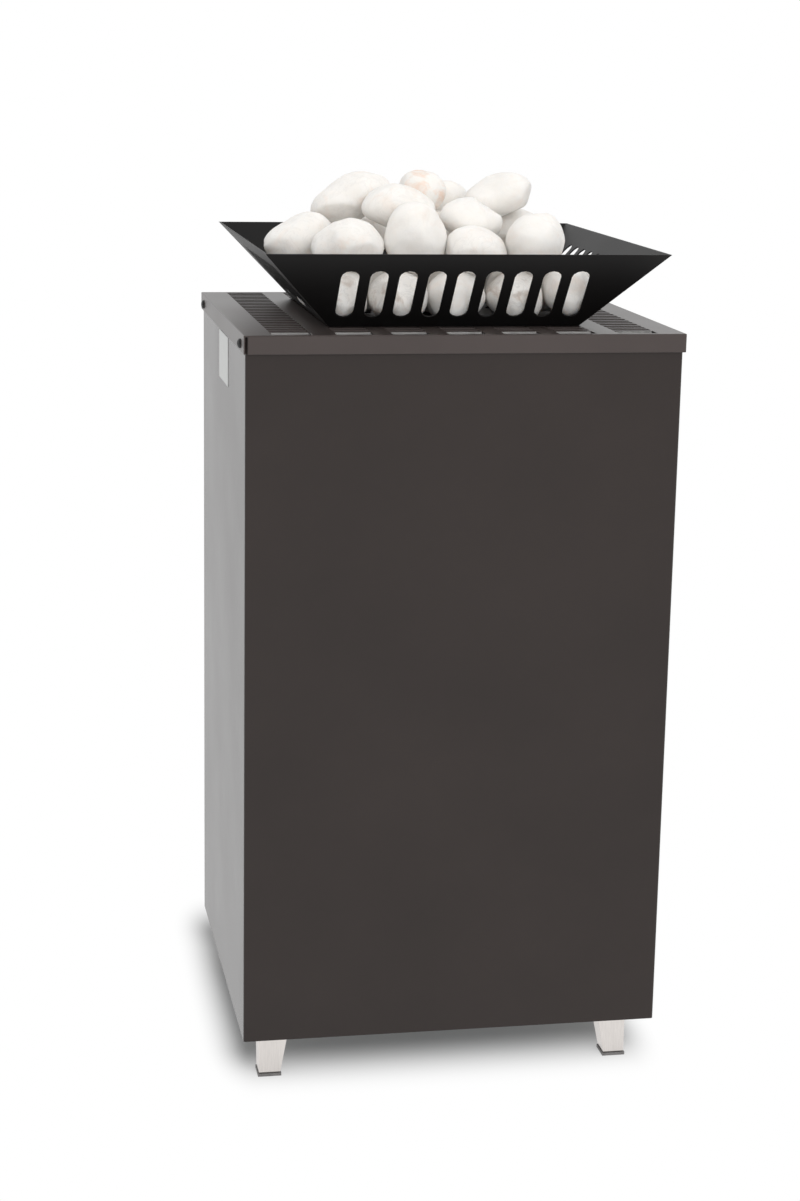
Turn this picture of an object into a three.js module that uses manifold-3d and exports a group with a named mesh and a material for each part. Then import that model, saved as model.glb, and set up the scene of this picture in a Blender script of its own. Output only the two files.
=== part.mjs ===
// Floor-standing electric sauna heater. A folded steel casing stands on four levelling feet, a slotted lid
// closes it, and a lift-off tray heaped with round stones stands on the lid.
// Millimetres, +Z up, the front faces -Y, and the origin is on the floor under the middle of the casing.
import * as THREE from 'three';
import { mergeVertices } from 'three/addons/utils/BufferGeometryUtils.js';
import Module from 'manifold-3d';

const wasm = await Module();
wasm.setup();

// Fits between pieces
const SEAT_GAP = 0.3;
const SCREW_CLEARANCE = 0.3;
const HEXAGON = 6;

// Casing: the front and both sides, folded from one sheet
const CASING_WIDTH = 426;
const CASING_DEPTH = 389;
const CASING_HEIGHT = 708;
const CASING_SHEET = 1.2;
const CASING_BEND = 2.5;
const CASING_RETURN = 18;
const FLOOR_TO_CASING = 54;

// Rear panel, with a row of upright air slots near its foot
const REAR_SHEET = 1.2;
const VENT_WIDTH = 9;
const VENT_HEIGHT = 70;
const VENT_PITCH = 26;
const VENT_RISE = 60;
const VENT_SIDE_MARGIN = 50;

// Base plate, a shallow pan with air inlets in front of and behind the terminal box
const BASE_SHEET = 1.5;
const BASE_FLANGE = 22;
const INLET_LENGTH = 80;
const INLET_WIDTH = 12;
const INLET_PITCH = 20;
const INLET_COLUMN_PITCH = 96;
const INLET_COLUMNS = 3;
const INLET_MARGIN = 12;

// Lid
const LID_SHEET = 1.5;
const LID_SKIRT = 18;
const LID_SIDE_CLEARANCE = 0.5;
const LID_END_CLEARANCE = 2;
const LID_CORNER_GAP = 2.4;
const WINDOW_MARGIN = 6;
const WINDOW_DEPTH = 20;
const SLOT_WIDTH = 9.5;
const SLOT_PITCH = 14.5;
const SLOT_BAR = 5;
const SLOT_REAR_MARGIN = 6;
const COLUMN_PITCH = 54;
const COLUMN_SLOT = 36;
const OUTER_COLUMN_INSET = 46.5;
const OUTER_COLUMN_SLOT = 38;
const COLUMN_BAND = 8;

// Screws that hold the lid's skirt to the casing
const SCREW_HEAD_RADIUS = 4.6;
const SCREW_HEAD_HEIGHT = 2.4;
const SCREW_RADIUS = 2;
const SCREW_LENGTH = 7;
const SCREW_DROP = 10.5;
const SCREW_END_INSET = 28;
const SCREW_FACETS = 12;

// Rating plate, left blank, on the left side
const PLATE_LENGTH = 79;
const PLATE_HEIGHT = 49;
const PLATE_SHEET = 0.4;
const PLATE_DROP = 2;
const PLATE_SHIFT = -10;

// Feet and their glides
const FOOT_TOP = 31;
const FOOT_BOTTOM = 22;
const FOOT_SIDE_INSET = 20;
const FOOT_END_INSET = 34;
const FOOT_STUD_RADIUS = 4;
const FOOT_STUD_LENGTH = 12;
const BOSS_RADIUS = 8;
const GLIDE_SOLE = 24;
const GLIDE_THICKNESS = 3;
const GLIDE_STUD_RADIUS = 4;
const GLIDE_STUD_LENGTH = 24;
const GLIDE_BORE_DEPTH = 27;
const STUD_FACETS = 10;

// Inner heat shield, a four-sided sleeve around the hot shaft
const SHIELD_SHEET = 1;
const SHIELD_AIR_GAP = 18;
const SHIELD_BEND = 3;
const SHIELD_TAB_SETBACK = 3;
const SHIELD_TAB_CLEARANCE = 1;
const SHIELD_TAB_RECESS = 0.3;
const SHIELD_ARCH_WIDTH = 90;
const SHIELD_ARCH_HEIGHT = 46;
const SHIELD_ARCH_PITCH = 120;

// Heating elements: bent tubes that stand on the terminal box
const ELEMENT_COUNT = 3;
const ELEMENT_SPACING = 76;
const ELEMENT_LEG_COUNT = 4;
const ELEMENT_LEG_PITCH = 80;
const ELEMENT_RADIUS = 4.25;
const ELEMENT_HEIGHT = 500;
const ELEMENT_DIP = 70;
const ELEMENT_TAIL = 34;
const ELEMENT_SIDES = 6;
const ELEMENT_BEND_STEPS = 8;
const COLLAR_RADIUS = 9;
const COLLAR_HEIGHT = 10;
const STRAP_RISE = 380;
const STRAP_WIDTH = 26;
const STRAP_SHEET = 1.5;
const STRAP_LIP = 16;

// Terminal box and what is wired in it
const BOX_HEIGHT = 92;
const BOX_SHEET = 1;
const BOX_MARGIN = 28;
const BLOCK_WIDTH = 30;
const BLOCK_HEIGHT = 18;
const BLOCK_RIB = 2.5;
const BLOCK_RIB_HEIGHT = 10;
const BLOCK_POLE_PITCH = 16;
const LEAD_RADIUS = 2;
const LEAD_RISE = 14;
const LEAD_STEPS = 14;
const LEAD_SIDES = 6;
const NEUTRAL_BAR_WIDTH = 12;
const NEUTRAL_BAR_SHEET = 2;
const NEUTRAL_BAR_OVERHANG = 8;

// Cable gland in the base plate
const GLAND_SETBACK = 58;
const GLAND_BORE_RADIUS = 6.5;
const GLAND_THREAD_RADIUS = 12;
const GLAND_THREAD_LENGTH = 12;
const GLAND_COLLAR_RADIUS = 16;
const GLAND_COLLAR_HEIGHT = 7;
const GLAND_DOME_RADIUS = 14.5;
const GLAND_DOME_HEIGHT = 16;
const GLAND_MOUTH_RADIUS = 10;
const LOCKNUT_RADIUS = 17;
const LOCKNUT_HEIGHT = 5;
const GLAND_FACETS = 14;

// Stone tray, an upside-down cut pyramid of black sheet
const TRAY_RIM_WIDTH = 391;
const TRAY_RIM_DEPTH = 405;
const TRAY_RIM_HEIGHT = 76;
const TRAY_LEAN = 71;
const TRAY_SHEET = 1.5;
const TRAY_SLOTS = 9;
const TRAY_SLOT_WIDTH = 17.5;
const TRAY_SLOT_LENGTH = 66;
const TRAY_SLOT_PITCH = 28;
const TRAY_SLOT_START = 14;
const TRAY_SLOT_STEPS = 3;
const TRAY_VENT_LENGTH = 34;
const TRAY_VENT_WIDTH = 10;
const TRAY_VENT_PITCH_X = 54;
const TRAY_VENT_PITCH_Y = 44;
const TRAY_VENT_MARGIN = 14;

// Stones: where each lies, as shares of the rim's half width and half depth, then its length, width and
// height, its turn about the upright, its tilt in degrees, and how much fuller its right end is
const STONE_DETAIL = 2;
const STONE_DROP_HEIGHT = 260;
const STONE_DROP_STEP = 3;
const STONE_SEARCH_ROUNDS = 40;
const TINY = 1e-6;
const STONES = [
  [-0.57, -0.56, 54, 60, 51, 4, 2, 0.1],
  [-0.28, -0.57, 57, 62, 52, 0, 4, 0.1],
  [0.015, -0.56, 58, 58, 52, 0, -3, -0.1],
  [0.315, -0.57, 56, 60, 52, 0, -5, 0.1],
  [0.605, -0.56, 54, 62, 51, 0, 0, -0.1],
  [-0.50, -0.19, 94, 82, 56, 8, 0, 0.05],
  [0.00, -0.20, 96, 84, 58, -6, 0, 0.05],
  [0.50, -0.19, 94, 82, 56, 5, 0, -0.05],
  [-0.50, 0.27, 92, 88, 56, -12, 0, 0.05],
  [0.00, 0.27, 96, 86, 58, 10, 0, 0.05],
  [0.51, 0.27, 92, 86, 56, -8, 0, -0.05],
  [-0.53, -0.54, 71, 58, 51, 5, 3, 0.05],
  [-0.186, -0.53, 60, 55, 69, 0, 14, 0.05],
  [0.122, -0.57, 61, 54, 46, 0, -12, -0.1],
  [0.415, -0.56, 54, 58, 56, 0, 0, 0],
  [-0.74, -0.28, 76, 58, 46, 10, 28, 0],
  [0.51, -0.28, 50, 54, 48, 0, 0, 0.05],
  [0.735, -0.395, 34, 36, 29, 0, 0, 0.05],
  [-0.42, 0.08, 80, 74, 46, 0, 0, 0.05],
  [0.05, 0.015, 82, 98, 50, 0, 0, 0],
  [0.45, 0.08, 72, 74, 52, 0, 0, 0],
  [-0.23, -0.29, 74, 58, 44, 0, 0, 0.05],
  [0.14, -0.31, 64, 56, 44, 0, -8, 0],
  [-0.44, -0.07, 84, 54, 44, 0, 25, 0.05],
  [0.34, -0.06, 72, 54, 44, 0, 20, 0.1],
  [-0.05, 0.02, 50, 50, 43, 0, 0, 0],
  [0.12, 0.26, 52, 54, 40, 0, 0, 0],
];

// Sizes and heights that follow
const CASING_TOP = FLOOR_TO_CASING + CASING_HEIGHT;
const LID_UNDERSIDE = CASING_TOP + SEAT_GAP;
const LID_TOP = LID_UNDERSIDE + LID_SHEET;
const LID_WIDTH = CASING_WIDTH + 2 * (LID_SIDE_CLEARANCE + LID_SHEET);
const LID_DEPTH = CASING_DEPTH + 2 * (LID_END_CLEARANCE + LID_SHEET);
const INNER_HALF_WIDTH = CASING_WIDTH / 2 - CASING_SHEET;
const INNER_FRONT = -CASING_DEPTH / 2 + CASING_SHEET;
const BEND_CLEARANCE = SEAT_GAP + (CASING_BEND - CASING_SHEET) * (1 - Math.SQRT1_2);
const REAR_PANEL_BACK = CASING_DEPTH / 2 - CASING_SHEET - SEAT_GAP;
const REAR_PANEL_FRONT = REAR_PANEL_BACK - REAR_SHEET;
const BASE_TOP = FLOOR_TO_CASING + BASE_SHEET;
const SHIELD_HALF_WIDTH = INNER_HALF_WIDTH - SHIELD_AIR_GAP;
const SHIELD_HALF_DEPTH = LID_DEPTH / 2 - WINDOW_MARGIN - WINDOW_DEPTH + SHIELD_TAB_SETBACK;
const SHIELD_FOOT = BASE_TOP + SEAT_GAP;
const BOX_FOOT = BASE_TOP + SEAT_GAP;
const BOX_TOP = BOX_FOOT + BOX_HEIGHT;
const ELEMENT_SPAN = (ELEMENT_LEG_COUNT - 1) * ELEMENT_LEG_PITCH;
const BOX_HALF_LENGTH = ELEMENT_SPAN / 2 + BOX_MARGIN;
const BOX_HALF_WIDTH = (ELEMENT_COUNT - 1) * ELEMENT_SPACING / 2 + BOX_MARGIN;
const TAIL_END = BOX_TOP - ELEMENT_TAIL;
const BLOCK_POLES = ELEMENT_COUNT + 1;
const TRAY_FOOT = SEAT_GAP;
const TRAY_FLOOR_TOP = TRAY_FOOT + TRAY_SHEET;

// Finishes
const finish = (color, roughness, metalness) => new THREE.MeshStandardMaterial({ color, roughness, metalness });
const anthracitePaint = finish(0x433e3b, 0.45, 0.2);
const blackPaint = finish(0x141414, 0.5, 0.2);
const blackScrew = finish(0x1b1a1a, 0.4, 0.7);
const galvanised = finish(0xb4b6b6, 0.45, 0.9);
const brushedSteel = finish(0xc9c5c0, 0.35, 0.9);
const elementSheath = finish(0x5c5a52, 0.5, 0.8);
const brass = finish(0xb08d4a, 0.35, 0.9);
const blackPlastic = finish(0x1c1c1d, 0.7, 0);
const paleCeramic = finish(0xe4dfd2, 0.6, 0);
const silicone = finish(0x7d2f24, 0.7, 0);
const plateFoil = finish(0xd5d6d4, 0.4, 0.3);
const whiteStone = finish(0xf0ebe4, 0.8, 0);

// Geometry helpers

function slab(x, y, z) {
  const geometry = new THREE.BoxGeometry(x[1] - x[0], y[1] - y[0], z[1] - z[0]);
  return geometry.translate((x[0] + x[1]) / 2, (y[0] + y[1]) / 2, (z[0] + z[1]) / 2);
}

// A block whose lower and upper faces are different rectangles
function taperedBlock(lower, upper, z) {
  const geometry = new THREE.BoxGeometry(2, 2, 2);
  const position = geometry.attributes.position;
  for (let i = 0; i < position.count; i += 1) {
    const top = position.getZ(i) > 0;
    const face = top ? upper : lower;
    const x = face.x[position.getX(i) > 0 ? 1 : 0];
    const y = face.y[position.getY(i) > 0 ? 1 : 0];
    position.setXYZ(i, x, y, z[top ? 1 : 0]);
  }
  return geometry;
}

function upright(radius, z, facets) {
  const geometry = new THREE.CylinderGeometry(radius, radius, z[1] - z[0], facets);
  return geometry.rotateX(Math.PI / 2).translate(0, 0, (z[0] + z[1]) / 2);
}

// A turned piece about Z, from points of radius and height
function turned(points, facets) {
  const profile = points.map(([radius, height]) => new THREE.Vector2(radius, height));
  return new THREE.LatheGeometry(profile, facets).rotateX(Math.PI / 2);
}

function extruded(shape, depth, curveSegments = 2) {
  return new THREE.ExtrudeGeometry(shape, { depth, bevelEnabled: false, curveSegments });
}

function roundedRectanglePath(path, halfWidth, halfDepth, radius) {
  const x = halfWidth - radius;
  const y = halfDepth - radius;
  path.absarc(x, y, radius, 0, Math.PI / 2);
  path.absarc(-x, y, radius, Math.PI / 2, Math.PI);
  path.absarc(-x, -y, radius, Math.PI, 1.5 * Math.PI);
  path.absarc(x, -y, radius, 1.5 * Math.PI, 2 * Math.PI);
  path.closePath();
  return path;
}

function around(centre, size) {
  return [centre - size / 2, centre + size / 2];
}

// Centres of as many evenly pitched places as fit in a span, centred on it
function placesIn(span, size, pitch) {
  const count = Math.max(1, Math.floor((span[1] - span[0] - size) / pitch + 1));
  const middle = (span[0] + span[1]) / 2;
  return Array.from({ length: count }, (_, i) => middle + (i - (count - 1) / 2) * pitch);
}

function centred(count, pitch) {
  return Array.from({ length: count }, (_, i) => (i - (count - 1) / 2) * pitch);
}

function bare(geometry) {
  const copy = geometry.clone();
  copy.deleteAttribute('normal');
  copy.deleteAttribute('uv');
  return mergeVertices(copy);
}

function toSolid(geometry) {
  const merged = bare(geometry);
  const vertProperties = Float32Array.from(merged.attributes.position.array);
  const triVerts = Uint32Array.from(merged.index.array);
  return new wasm.Manifold(new wasm.Mesh({ numProp: 3, vertProperties, triVerts }));
}

function toGeometry(solid) {
  const mesh = solid.getMesh();
  const geometry = new THREE.BufferGeometry();
  geometry.setAttribute('position', new THREE.BufferAttribute(mesh.vertProperties, 3));
  geometry.setIndex(new THREE.BufferAttribute(mesh.triVerts, 1));
  geometry.computeVertexNormals();
  return geometry;
}

// Joins the first list of shapes, then cuts the second list from them
function shaped(joined, cuts = []) {
  const [first, ...others] = joined.map(toSolid);
  const whole = others.reduce((sum, solid) => sum.add(solid), first);
  return toGeometry(cuts.map(toSolid).reduce((rest, solid) => rest.subtract(solid), whole));
}

const heater = new THREE.Group();

function place(parent, name, geometry, material, position = [0, 0, 0]) {
  const mesh = new THREE.Mesh(geometry, material);
  mesh.name = name;
  mesh.position.set(...position);
  parent.add(mesh);
  return mesh;
}

const corners = [
  { name: 'front_left', x: -1, y: -1 },
  { name: 'front_right', x: 1, y: -1 },
  { name: 'rear_left', x: -1, y: 1 },
  { name: 'rear_right', x: 1, y: 1 },
];

// Lid screws stand at these places on both sides
const SCREW_HEIGHT = LID_TOP - SCREW_DROP;
const SCREW_Y = LID_DEPTH / 2 - SCREW_END_INSET;

function screwHole() {
  const reach = LID_WIDTH + 2 * SCREW_LENGTH;
  const hole = new THREE.CylinderGeometry(SCREW_RADIUS + SCREW_CLEARANCE, SCREW_RADIUS + SCREW_CLEARANCE, reach,
    SCREW_FACETS);
  return hole.rotateZ(Math.PI / 2);
}

function screwHoles() {
  return [-SCREW_Y, SCREW_Y].map((y) => screwHole().translate(0, y, SCREW_HEIGHT));
}

// Casing

function casingOutline() {
  const w = CASING_WIDTH / 2;
  const d = CASING_DEPTH / 2;
  const t = CASING_SHEET;
  const outer = CASING_BEND;
  const inner = CASING_BEND - CASING_SHEET;
  const cx = w - outer;
  const cy = d - outer;
  const right = 0;
  const rear = Math.PI / 2;
  const left = Math.PI;
  const front = 1.5 * Math.PI;
  const shape = new THREE.Shape();
  shape.moveTo(-w + CASING_RETURN, d);
  shape.absarc(-cx, cy, outer, rear, left);
  shape.absarc(-cx, -cy, outer, left, front);
  shape.absarc(cx, -cy, outer, front, 2 * Math.PI);
  shape.absarc(cx, cy, outer, right, rear);
  shape.lineTo(w - CASING_RETURN, d);
  shape.lineTo(w - CASING_RETURN, d - t);
  shape.absarc(cx, cy, inner, rear, right, true);
  shape.absarc(cx, -cy, inner, 2 * Math.PI, front, true);
  shape.absarc(-cx, -cy, inner, front, left, true);
  shape.absarc(-cx, cy, inner, left, rear, true);
  shape.lineTo(-w + CASING_RETURN, d - t);
  shape.closePath();
  return shape;
}

function casingWrap() {
  const wall = extruded(casingOutline(), CASING_HEIGHT).translate(0, 0, FLOOR_TO_CASING);
  return shaped([wall], screwHoles());
}

function rearPanel() {
  const halfWidth = CASING_WIDTH / 2 - CASING_BEND - SEAT_GAP;
  const thickness = [REAR_PANEL_FRONT, REAR_PANEL_BACK];
  const sheet = slab([-halfWidth, halfWidth], thickness, [FLOOR_TO_CASING, CASING_TOP]);
  const ventSpan = [-halfWidth + VENT_SIDE_MARGIN, halfWidth - VENT_SIDE_MARGIN];
  const ventHeight = around(FLOOR_TO_CASING + VENT_RISE + VENT_HEIGHT / 2, VENT_HEIGHT);
  const through = [REAR_PANEL_FRONT - REAR_SHEET, REAR_PANEL_BACK + REAR_SHEET];
  const vents = placesIn(ventSpan, VENT_WIDTH, VENT_PITCH)
    .map((x) => slab(around(x, VENT_WIDTH), through, ventHeight));
  return shaped([sheet], vents);
}

// Where a foot's top and bottom squares lie, on one corner
function footSquare(corner, size) {
  const outerX = CASING_WIDTH / 2 - FOOT_SIDE_INSET;
  const outerY = CASING_DEPTH / 2 - FOOT_END_INSET;
  const x = [outerX - size, outerX].map((v) => v * corner.x).sort((a, b) => a - b);
  const y = [outerY - size, outerY].map((v) => v * corner.y).sort((a, b) => a - b);
  return { x, y, middle: [(x[0] + x[1]) / 2, (y[0] + y[1]) / 2] };
}

function basePlate() {
  const x = [-INNER_HALF_WIDTH + BEND_CLEARANCE, INNER_HALF_WIDTH - BEND_CLEARANCE];
  const y = [INNER_FRONT + BEND_CLEARANCE, REAR_PANEL_FRONT - SEAT_GAP];
  const inside = [x, y].map(([low, high]) => [low + BASE_SHEET, high - BASE_SHEET]);
  const flangeTop = BASE_TOP + BASE_FLANGE;
  const through = [FLOOR_TO_CASING - BASE_SHEET, flangeTop + BASE_SHEET];
  const joined = [];
  const cuts = [];
  const sheet = slab(x, y, [FLOOR_TO_CASING, flangeTop]);
  const hollow = slab(...inside, [BASE_TOP, through[1]]);
  const pan = shaped([sheet], [hollow]);
  joined.push(pan);
  for (const corner of corners) {
    const [bossX, bossY] = footSquare(corner, FOOT_TOP).middle;
    const bossTop = BASE_TOP + FOOT_STUD_LENGTH;
    joined.push(upright(BOSS_RADIUS, [FLOOR_TO_CASING, bossTop], STUD_FACETS).translate(bossX, bossY, 0));
    const bore = upright(FOOT_STUD_RADIUS + SCREW_CLEARANCE, through, STUD_FACETS);
    cuts.push(bore.translate(bossX, bossY, 0));
  }
  const glandHole = upright(GLAND_THREAD_RADIUS + SCREW_CLEARANCE, through, GLAND_FACETS);
  cuts.push(glandHole.translate(0, GLAND_SETBACK, 0));
  const inletSpan = [BOX_HALF_WIDTH + INLET_MARGIN, SHIELD_HALF_DEPTH - INLET_MARGIN];
  for (const column of centred(INLET_COLUMNS, INLET_COLUMN_PITCH)) {
    for (const row of placesIn(inletSpan, INLET_WIDTH, INLET_PITCH)) {
      cuts.push(slab(around(column, INLET_LENGTH), around(row, INLET_WIDTH), through));
      cuts.push(slab(around(column, INLET_LENGTH), around(-row, INLET_WIDTH), through));
    }
  }
  return shaped(joined, cuts);
}

// Lid

function lidColumns() {
  const outer = LID_WIDTH / 2 - OUTER_COLUMN_INSET;
  const room = outer - OUTER_COLUMN_SLOT / 2 - COLUMN_BAND;
  const middle = placesIn([-room, room], COLUMN_SLOT, COLUMN_PITCH);
  return [
    { x: -outer, length: OUTER_COLUMN_SLOT },
    ...middle.map((x) => ({ x, length: COLUMN_SLOT })),
    { x: outer, length: OUTER_COLUMN_SLOT },
  ];
}

function lid() {
  const halfWidth = LID_WIDTH / 2;
  const halfDepth = LID_DEPTH / 2;
  const window = [-halfDepth + WINDOW_MARGIN, -halfDepth + WINDOW_MARGIN + WINDOW_DEPTH];
  const firstSlot = window[1] + SLOT_BAR;
  const rows = Math.floor((halfDepth - SLOT_REAR_MARGIN - firstSlot - SLOT_WIDTH) / SLOT_PITCH) + 1;
  const through = [LID_UNDERSIDE - LID_SHEET, LID_TOP + LID_SHEET];
  const openings = [];
  for (const column of lidColumns()) {
    const x = around(column.x, column.length);
    openings.push(slab(x, window, through));
    for (let row = 0; row < rows; row += 1) {
      const front = firstSlot + row * SLOT_PITCH;
      openings.push(slab(x, [front, front + SLOT_WIDTH], through));
    }
  }
  const sheet = slab([-halfWidth, halfWidth], [-halfDepth, halfDepth], [LID_UNDERSIDE, LID_TOP]);
  const skirtHeight = [LID_TOP - LID_SKIRT, LID_TOP];
  const endHalf = halfWidth - LID_SHEET - LID_CORNER_GAP;
  const skirts = [];
  for (const side of [-1, 1]) {
    const x = around(side * (halfWidth - LID_SHEET / 2), LID_SHEET);
    const y = around(side * (halfDepth - LID_SHEET / 2), LID_SHEET);
    skirts.push(slab(x, [-halfDepth, halfDepth], skirtHeight));
    // An end skirt closes one corner and leaves the other open
    const ends = [side * endHalf, -side * halfWidth].sort((a, b) => a - b);
    skirts.push(slab(ends, y, skirtHeight));
  }
  return shaped([sheet, ...skirts], [...openings, ...screwHoles()]);
}

function lidScrew() {
  const bevel = SCREW_HEAD_RADIUS / 3;
  return turned([
    [0, -SCREW_LENGTH],
    [SCREW_RADIUS, -SCREW_LENGTH],
    [SCREW_RADIUS, 0],
    [SCREW_HEAD_RADIUS, 0],
    [SCREW_HEAD_RADIUS, SCREW_HEAD_HEIGHT / 2],
    [SCREW_HEAD_RADIUS - bevel, SCREW_HEAD_HEIGHT],
    [0, SCREW_HEAD_HEIGHT],
  ], SCREW_FACETS);
}

// Feet

function foot(corner) {
  const bottom = GLIDE_THICKNESS + SEAT_GAP;
  const top = FLOOR_TO_CASING - SEAT_GAP;
  const lower = footSquare(corner, FOOT_BOTTOM);
  const upper = footSquare(corner, FOOT_TOP);
  const block = taperedBlock(lower, upper, [bottom, top]);
  const stud = upright(FOOT_STUD_RADIUS, [top - FOOT_STUD_LENGTH, top + FOOT_STUD_LENGTH], STUD_FACETS);
  const bore = upright(GLIDE_STUD_RADIUS + SCREW_CLEARANCE, [0, bottom + GLIDE_BORE_DEPTH], STUD_FACETS);
  return shaped(
    [block, stud.translate(...upper.middle, 0)],
    [bore.translate(...lower.middle, 0)],
  );
}

function levellingGlide(corner) {
  const [x, y] = footSquare(corner, FOOT_BOTTOM).middle;
  const sole = slab(around(x, GLIDE_SOLE), around(y, GLIDE_SOLE), [0, GLIDE_THICKNESS]);
  const stud = upright(GLIDE_STUD_RADIUS, [0, GLIDE_THICKNESS + GLIDE_STUD_LENGTH], STUD_FACETS);
  return shaped([sole, stud.translate(x, y, 0)]);
}

// Heat shield

function innerShield() {
  const outline = roundedRectanglePath(new THREE.Shape(), SHIELD_HALF_WIDTH, SHIELD_HALF_DEPTH, SHIELD_BEND);
  const hollow = roundedRectanglePath(new THREE.Path(), SHIELD_HALF_WIDTH - SHIELD_SHEET,
    SHIELD_HALF_DEPTH - SHIELD_SHEET, SHIELD_BEND - SHIELD_SHEET);
  outline.holes.push(hollow);
  const top = LID_UNDERSIDE - SEAT_GAP;
  const sleeve = extruded(outline, top - SHIELD_FOOT).translate(0, 0, SHIELD_FOOT);
  const front = [-SHIELD_HALF_DEPTH, -SHIELD_HALF_DEPTH + SHIELD_SHEET];
  const tabs = lidColumns().map((column) => slab(
    around(column.x, column.length - 2 * SHIELD_TAB_CLEARANCE),
    front,
    [top - LID_SKIRT, LID_TOP - SHIELD_TAB_RECESS],
  ));
  const archHeight = [SHIELD_FOOT - SHIELD_SHEET, SHIELD_FOOT + SHIELD_ARCH_HEIGHT];
  const reach = 2 * SHIELD_HALF_DEPTH;
  const archSpan = [-SHIELD_HALF_WIDTH + SHIELD_BEND, SHIELD_HALF_WIDTH - SHIELD_BEND];
  const arches = placesIn(archSpan, SHIELD_ARCH_WIDTH, SHIELD_ARCH_PITCH)
    .map((x) => slab(around(x, SHIELD_ARCH_WIDTH), [-reach, reach], archHeight));
  return shaped([sleeve, ...tabs], arches);
}

// Heating elements

// A bent rod in the XZ plane: legs joined by half turns, with its points only where it bends
class BentRod extends THREE.Curve {
  constructor(points) {
    super();
    this.points = points;
  }

  getPoint(share, target = new THREE.Vector3()) {
    const place = share * (this.points.length - 1);
    const index = Math.min(Math.floor(place), this.points.length - 2);
    return target.lerpVectors(this.points[index], this.points[index + 1], place - index);
  }

  getPointAt(share, target) {
    return this.getPoint(share, target);
  }

  getTangentAt(share, target) {
    return this.getTangent(share, target);
  }
}

const FIRST_LEG = -ELEMENT_SPAN / 2;
const LAST_LEG = ELEMENT_SPAN / 2;

// Up one leg and down the next, with a half turn between each pair
function elementPath() {
  const radius = ELEMENT_LEG_PITCH / 2;
  const points = [new THREE.Vector3(FIRST_LEG, 0, -ELEMENT_TAIL)];
  centred(ELEMENT_LEG_COUNT - 1, ELEMENT_LEG_PITCH).forEach((x, i) => {
    const up = i % 2 === 0 ? 1 : -1;
    const z = up > 0 ? ELEMENT_HEIGHT - radius : ELEMENT_DIP + radius;
    for (let step = 0; step <= ELEMENT_BEND_STEPS; step += 1) {
      const angle = Math.PI * (1 - step / ELEMENT_BEND_STEPS);
      points.push(new THREE.Vector3(x + radius * Math.cos(angle), 0, z + up * radius * Math.sin(angle)));
    }
  });
  points.push(new THREE.Vector3(LAST_LEG, 0, -ELEMENT_TAIL));
  return new BentRod(points);
}

function rodSection(radius, sides) {
  const section = new THREE.Shape();
  for (let side = 0; side < sides; side += 1) {
    const angle = 2 * Math.PI * side / sides;
    const x = radius * Math.cos(angle);
    const y = radius * Math.sin(angle);
    if (side === 0) {
      section.moveTo(x, y);
    } else {
      section.lineTo(x, y);
    }
  }
  section.closePath();
  return section;
}

function heatingElement() {
  const extrudePath = elementPath();
  const steps = extrudePath.points.length - 1;
  const tube = new THREE.ExtrudeGeometry(rodSection(ELEMENT_RADIUS, ELEMENT_SIDES), { steps, extrudePath });
  const collars = [FIRST_LEG, LAST_LEG].map((x) => {
    const collar = upright(COLLAR_RADIUS, [SEAT_GAP, SEAT_GAP + COLLAR_HEIGHT], HEXAGON);
    return collar.translate(x, 0, 0);
  });
  return shaped([tube, ...collars]);
}

function elementStrap() {
  const halfLength = SHIELD_HALF_DEPTH - SHIELD_SHEET - SEAT_GAP;
  const strip = slab(around(0, STRAP_WIDTH), [-halfLength, halfLength], [0, STRAP_SHEET]);
  const lips = [-1, 1].map((end) => slab(
    around(0, STRAP_WIDTH),
    around(end * (halfLength - STRAP_SHEET / 2), STRAP_SHEET),
    [-STRAP_LIP, STRAP_SHEET],
  ));
  const holes = centred(ELEMENT_COUNT, ELEMENT_SPACING).map((y) => {
    const hole = upright(ELEMENT_RADIUS + SCREW_CLEARANCE, [-STRAP_SHEET, 2 * STRAP_SHEET], 2 * ELEMENT_SIDES);
    return hole.translate(0, y, 0);
  });
  return shaped([strip, ...lips], holes);
}

// Terminal box and wiring

function terminalBox() {
  const shell = slab(around(0, 2 * BOX_HALF_LENGTH), around(0, 2 * BOX_HALF_WIDTH), [BOX_FOOT, BOX_TOP]);
  const hollow = slab(
    around(0, 2 * (BOX_HALF_LENGTH - BOX_SHEET)),
    around(0, 2 * (BOX_HALF_WIDTH - BOX_SHEET)),
    [BOX_FOOT - BOX_SHEET, BOX_TOP - BOX_SHEET],
  );
  const holes = [];
  for (const y of centred(ELEMENT_COUNT, ELEMENT_SPACING)) {
    for (const x of [FIRST_LEG, LAST_LEG]) {
      const hole = upright(ELEMENT_RADIUS + SCREW_CLEARANCE, around(BOX_TOP, 4 * BOX_SHEET), 2 * ELEMENT_SIDES);
      holes.push(hole.translate(x, y, 0));
    }
  }
  return shaped([shell], [hollow, ...holes]);
}

const BLOCK_FOOT = BASE_TOP + SEAT_GAP;
const BLOCK_TOP = BLOCK_FOOT + BLOCK_HEIGHT;
const POLES = centred(BLOCK_POLES, BLOCK_POLE_PITCH);

function terminalBlock() {
  const length = BLOCK_POLES * BLOCK_POLE_PITCH + BLOCK_RIB;
  const body = slab(around(0, length), around(0, BLOCK_WIDTH), [BLOCK_FOOT, BLOCK_TOP]);
  const ribs = centred(BLOCK_POLES + 1, BLOCK_POLE_PITCH).map((x) => slab(
    around(x, BLOCK_RIB),
    around(0, BLOCK_WIDTH),
    [BLOCK_FOOT, BLOCK_TOP + BLOCK_RIB_HEIGHT],
  ));
  return shaped([body, ...ribs]);
}

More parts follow.
